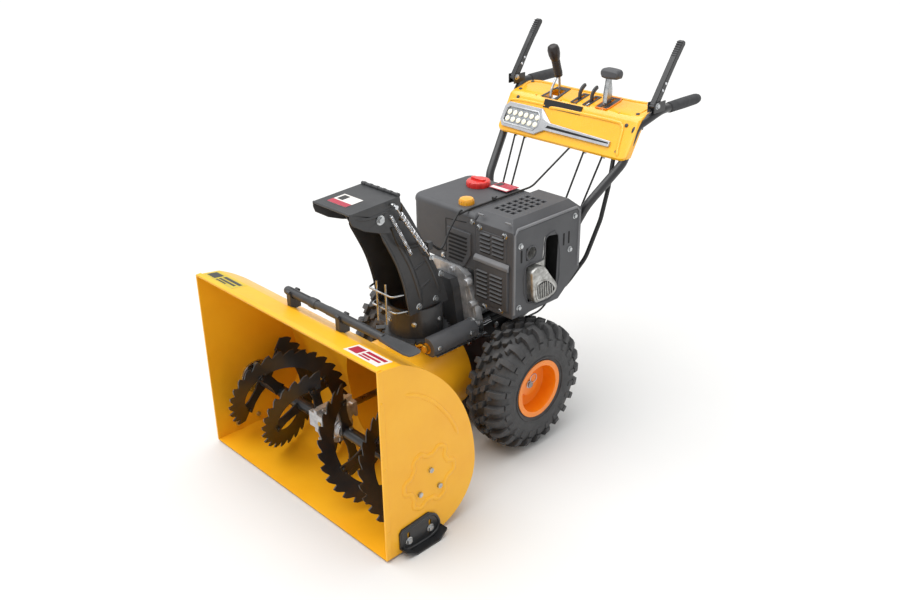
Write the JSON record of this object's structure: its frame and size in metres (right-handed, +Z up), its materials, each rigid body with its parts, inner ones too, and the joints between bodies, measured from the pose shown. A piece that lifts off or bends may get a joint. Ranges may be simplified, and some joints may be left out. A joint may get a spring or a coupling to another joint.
{
  "type": "snow blower",
  "caption": "Walk-behind two-stage snow blower with a wide auger intake, turning discharge chute with tilting hood, engine, driven wheels, lever console and clutch levers.",
  "frame": {"origin": "on the floor, under the middle of the machine", "axes": "+Z up, the intake faces -Y, the operator stands at +Y, the machine's left side is +X"},
  "size_m": [0.82, 1.376, 1.0641],
  "materials": {
    "housing_paint": "gloss powder coat, yellow outside and orange inside",
    "black_steel": "satin black powder coat",
    "zinc_steel": "bright zinc plate",
    "bright_steel": "ground steel",
    "gear_casting": "die cast",
    "black_plastic": "moulded, fine texture",
    "grey_plastic": "moulded, fine texture",
    "spring_chrome": "bright wire",
    "drive_rubber": "moulded",
    "rim_paint": "gloss orange powder coat",
    "tyre_rubber": "moulded lugs",
    "engine_casting": "die cast",
    "cap_red": "gloss",
    "cap_yellow": "gloss",
    "muffler_steel": "heat-resistant silver",
    "grip_foam": "closed-cell foam",
    "console_plastic": "gloss moulding",
    "bezel_chrome": "silver lacquer",
    "clear_lens": "clear",
    "cable_sheath": "black plastic sheath",
    "brown_plastic": "moulded"
  },
  "bodies": {
    "frame": {"auger_bearings": "zinc_steel", "auger_housing": "housing_paint", "belt_cover": "grey_plastic", "bottom_cover": "black_steel", "chassis_frame": "black_steel", "chute_flex_shaft": "cable_sheath", "chute_keepers": "black_plastic", "clutch_brackets": "black_steel", "console": "console_plastic", "control_cables": "cable_sheath", "drive_belts": "drive_rubber", "drive_chain": "bright_steel", "engine_block": "engine_casting", "engine_shroud": "grey_plastic", "frame_bolts": "zinc_steel", "gearbox_case": "gear_casting", "hand_grips": "grip_foam", "handle_tubes": "black_steel", "headlight_bezel": "bezel_chrome", "headlight_lens": "clear_lens", "impeller_housing": "housing_paint", "lever_frame": "black_steel", "muffler": "muffler_steel", "muffler_cover": "grey_plastic", "recoil_starter": "black_steel", "scraper_bar": "black_steel", "shaft_bearings": "zinc_steel", "skid_shoes": "black_steel", "tool_clips": "black_plastic", "worm_bracket": "zinc_steel", "worm_cover": "grey_plastic"},
    "auger": {"auger_left": "black_steel", "auger_right": "black_steel", "auger_shaft": "bright_steel"},
    "impeller": {"impeller": "housing_paint", "impeller_shaft": "bright_steel"},
    "crankshaft": {"crankshaft": "bright_steel"},
    "drive_disc": {"drive_disc": "bright_steel"},
    "wheels": {"wheel_rims": "rim_paint", "tyres": "tyre_rubber", "drive_axle": "bright_steel"},
    "hex_shaft": {"hex_shaft": "bright_steel"},
    "friction_wheel": {"friction_wheel": "drive_rubber"},
    "chute": {"chute": "black_plastic", "chute_ring": "black_plastic", "chute_guard": "zinc_steel", "deflector_spring": "spring_chrome"},
    "hood": {"chute_hood": "black_plastic", "hood_pivots": "zinc_steel"},
    "chute_worm": {"chute_worm": "zinc_steel"},
    "chute_lever": {"chute_lever": "black_plastic"},
    "deflector_lever": {"deflector_lever": "black_plastic"},
    "throttle_lever": {"throttle_lever": "black_plastic"},
    "gear_lever": {"gear_lever": "grey_plastic"},
    "clutch_lever_left": {"clutch_lever_left": "black_steel"},
    "clutch_lever_right": {"clutch_lever_right": "black_steel"},
    "fuel_cap": {"fuel_cap": "cap_red"},
    "oil_cap": {"oil_cap": "cap_yellow"},
    "recoil_handle": {"recoil_handle": "black_plastic"},
    "clean_out_tool": {"clean_out_tool": "brown_plastic"}
  },
  "joints": [
    {"name": "auger_spin", "type": "hinge", "parent": "frame", "child": "auger", "pos_m": [0, -0.54, 0.164], "axis": [1, 0, 0], "continuous": true},
    {"name": "impeller_spin", "type": "hinge", "parent": "frame", "child": "impeller", "pos_m": [0, -0.233, 0.2], "axis": [0, 1, 0], "continuous": true},
    {"name": "crank_spin", "type": "hinge", "parent": "frame", "child": "crankshaft", "pos_m": [0, 0, 0.43], "axis": [0, 1, 0], "continuous": true},
    {"name": "drive_disc_spin", "type": "hinge", "parent": "frame", "child": "drive_disc", "pos_m": [0, -0.088, 0.252], "axis": [0, 1, 0], "continuous": true},
    {"name": "axle_spin", "type": "hinge", "parent": "frame", "child": "wheels", "pos_m": [0, -0.043, 0.19], "axis": [1, 0, 0], "continuous": true},
    {"name": "hex_spin", "type": "hinge", "parent": "frame", "child": "hex_shaft", "pos_m": [0, -0.023, 0.252], "axis": [1, 0, 0], "continuous": true},
    {"name": "speed_shift", "type": "slide", "parent": "hex_shaft", "child": "friction_wheel", "axis": [1, 0, 0], "range_m": [-0.05, 0.05]},
    {"name": "gear_lever_tilt", "type": "hinge", "parent": "frame", "child": "gear_lever", "pos_m": [0.104, 0.462, 0.844], "axis": [1, 0, 0], "range_deg": [-15, 15]},
    {"name": "chute_turn", "type": "hinge", "parent": "frame", "child": "chute", "pos_m": [0, -0.233, 0.3415], "axis": [0, 0, 1], "range_deg": [-100, 100]},
    {"name": "chute_worm_spin", "type": "hinge", "parent": "frame", "child": "chute_worm", "pos_m": [0.1125, -0.233, 0.3455], "axis": [0, 1, 0], "range_deg": [-900, 900]},
    {"name": "chute_lever_tilt", "type": "hinge", "parent": "frame", "child": "chute_lever", "pos_m": [-0.097, 0.462, 0.844], "axis": [0, 1, 0], "range_deg": [-25, 25]},
    {"name": "hood_tilt", "type": "hinge", "parent": "chute", "child": "hood", "pos_m": [0, -0.407, 0.739], "axis": [-1, 0, 0], "range_deg": [0, 40]},
    {"name": "deflector_lever_tilt", "type": "hinge", "parent": "frame", "child": "deflector_lever", "pos_m": [0, 0.462, 0.844], "axis": [-1, 0, 0], "range_deg": [0, 20]},
    {"name": "throttle_tilt", "type": "hinge", "parent": "frame", "child": "throttle_lever", "pos_m": [0.046, 0.462, 0.844], "axis": [-1, 0, 0], "range_deg": [-20, 20]},
    {"name": "clutch_left_squeeze", "type": "hinge", "parent": "frame", "child": "clutch_lever_left", "pos_m": [0.27, 0.46, 0.9], "axis": [-1, 0, 0], "range_deg": [0, 43], "stiffness_Nm_per_rad": 1.2, "springref_deg": -34.38},
    {"name": "clutch_right_squeeze", "type": "hinge", "parent": "frame", "child": "clutch_lever_right", "pos_m": [-0.27, 0.46, 0.9], "axis": [-1, 0, 0], "range_deg": [0, 43], "stiffness_Nm_per_rad": 1.2, "springref_deg": -34.38},
    {"name": "fuel_cap_twist", "type": "hinge", "parent": "frame", "child": "fuel_cap", "pos_m": [-0.07, 0.092, 0.672], "axis": [0, 0, 1], "range_deg": [0, 90]},
    {"name": "oil_cap_twist", "type": "hinge", "parent": "frame", "child": "oil_cap", "pos_m": [0.015, -0.042, 0.672], "axis": [0, 0, 1], "range_deg": [0, 90]},
    {"name": "recoil_pull", "type": "slide", "parent": "frame", "child": "recoil_handle", "axis": [0, 1, 0], "range_m": [0, 0.22]},
    {"name": "clean_out_tool_lift", "type": "slide", "parent": "frame", "child": "clean_out_tool", "axis": [0, 0, 1], "range_m": [0, 0.06]}
  ],
  "couplings": [
    {"joint": "impeller_spin", "follows": "auger_spin", "ratio": 10},
    {"joint": "hex_spin", "follows": "axle_spin", "ratio": 2.625},
    {"joint": "gear_lever_tilt", "follows": "speed_shift", "rad_per_m": 5},
    {"joint": "chute_worm_spin", "follows": "chute_turn", "ratio": 9},
    {"joint": "chute_lever_tilt", "follows": "chute_turn", "ratio": 0.25},
    {"joint": "deflector_lever_tilt", "follows": "hood_tilt", "ratio": 0.5}
  ]
}
